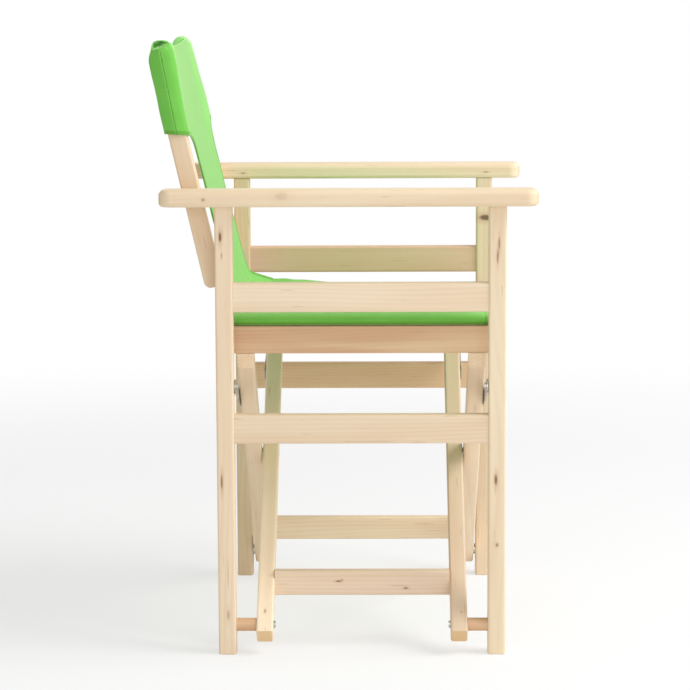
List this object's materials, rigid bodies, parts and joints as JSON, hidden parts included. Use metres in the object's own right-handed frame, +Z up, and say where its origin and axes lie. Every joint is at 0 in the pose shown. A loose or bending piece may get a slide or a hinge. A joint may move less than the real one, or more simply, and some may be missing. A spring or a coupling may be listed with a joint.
{
  "type": "folding director's chair",
  "caption": "Wooden folding chair with crossed legs, armrests and a cloth sling that forms the seat and the back.",
  "frame": {"origin": "on the floor, in the middle of the open chair's outer box", "axes": "+Z up, -Y to the front of the chair, -X to the sitter's right hand"},
  "size_m": [0.535, 0.529, 0.837],
  "materials": {
    "wood": "bare, sanded",
    "green_cloth": "woven canvas",
    "steel": "zinc plated"
  },
  "bodies": {
    "side_frame_right": {"back_panel": "green_cloth", "right_armrest": "wood", "right_back_post": "wood", "right_back_post_bolts": "steel", "right_back_sleeve": "green_cloth", "right_front_post": "wood", "right_link_screws": "steel", "right_lower_side_rail": "wood", "right_pivot_bolts": "steel", "right_pivot_spacers": "wood", "right_pivot_washers": "steel", "right_rear_post": "wood", "right_upper_side_rail": "wood"},
    "legs_a": {"batten_dowels_a": "wood", "crossing_bolts": "steel", "crossing_nuts": "steel", "crossing_washers": "steel", "hem_screws_a": "steel", "leg_a_front": "wood", "leg_a_rear": "wood", "leg_dowels_a": "wood", "low_rail_a": "wood", "seat_batten_a": "wood", "seat_hem_a": "green_cloth", "seat_rail_a": "wood"},
    "legs_b": {"batten_dowels_b": "wood", "hem_screws_b": "steel", "leg_b_front": "wood", "leg_b_rear": "wood", "leg_dowels_b": "wood", "low_rail_b": "wood", "seat_batten_b": "wood", "seat_hem_b": "green_cloth", "seat_rail_b": "wood"},
    "side_frame_left": {"left_armrest": "wood", "left_back_post": "wood", "left_back_post_bolts": "steel", "left_back_sleeve": "green_cloth", "left_front_post": "wood", "left_link_screws": "steel", "left_link_spacers": "steel", "left_lower_side_rail": "wood", "left_pivot_bolts": "steel", "left_pivot_spacers": "steel", "left_pivot_washers": "steel", "left_rear_post": "wood", "left_upper_side_rail": "wood"},
    "links_right": {"right_link_rivets": "steel", "right_links": "steel"},
    "links_left": {"left_link_rivets": "steel", "left_links": "steel"},
    "sling": {"lower_back_panel": "green_cloth", "seat_panel": "green_cloth"}
  },
  "joints": [
    {"name": "fold", "type": "hinge", "parent": "side_frame_right", "child": "legs_a", "pos_m": [-0.237, -0.02602, 0.0395], "axis": [0, -1, 0], "range_deg": [0, 36.35], "deforming": ["seat_panel", "lower_back_panel", "back_panel"]},
    {"name": "crossing", "type": "hinge", "parent": "legs_a", "child": "legs_b", "pos_m": [0, -0.02602, 0.23499], "axis": [0, 1, 0], "range_deg": [0, 72.72]},
    {"name": "left_lower_pivot", "type": "hinge", "parent": "legs_b", "child": "side_frame_left", "pos_m": [0.237, -0.02602, 0.0395], "axis": [0, -1, 0], "range_deg": [0, 36.36]},
    {"name": "right_link_pivot", "type": "hinge", "parent": "side_frame_right", "child": "links_right", "pos_m": [-0.237, -0.02602, 0.371], "axis": [0, -1, 0], "range_deg": [0, 90.05]},
    {"name": "left_link_pivot", "type": "hinge", "parent": "side_frame_left", "child": "links_left", "pos_m": [0.237, -0.02602, 0.371], "axis": [0, 1, 0], "range_deg": [0, 90.05]},
    {"name": "sling_level", "type": "hinge", "parent": "legs_a", "child": "sling", "pos_m": [0, -0.02602, 0.23499], "axis": [0, 1, 0], "range_deg": [0, 36.36]}
  ],
  "couplings": [
    {"joint": "crossing", "follows": "fold", "ratio": 2},
    {"joint": "left_lower_pivot", "follows": "fold", "ratio": 1},
    {"joint": "right_link_pivot", "follows": "fold", "ratio": 2.4768},
    {"joint": "left_link_pivot", "follows": "fold", "ratio": 2.4768},
    {"joint": "sling_level", "follows": "fold", "ratio": 1}
  ]
}
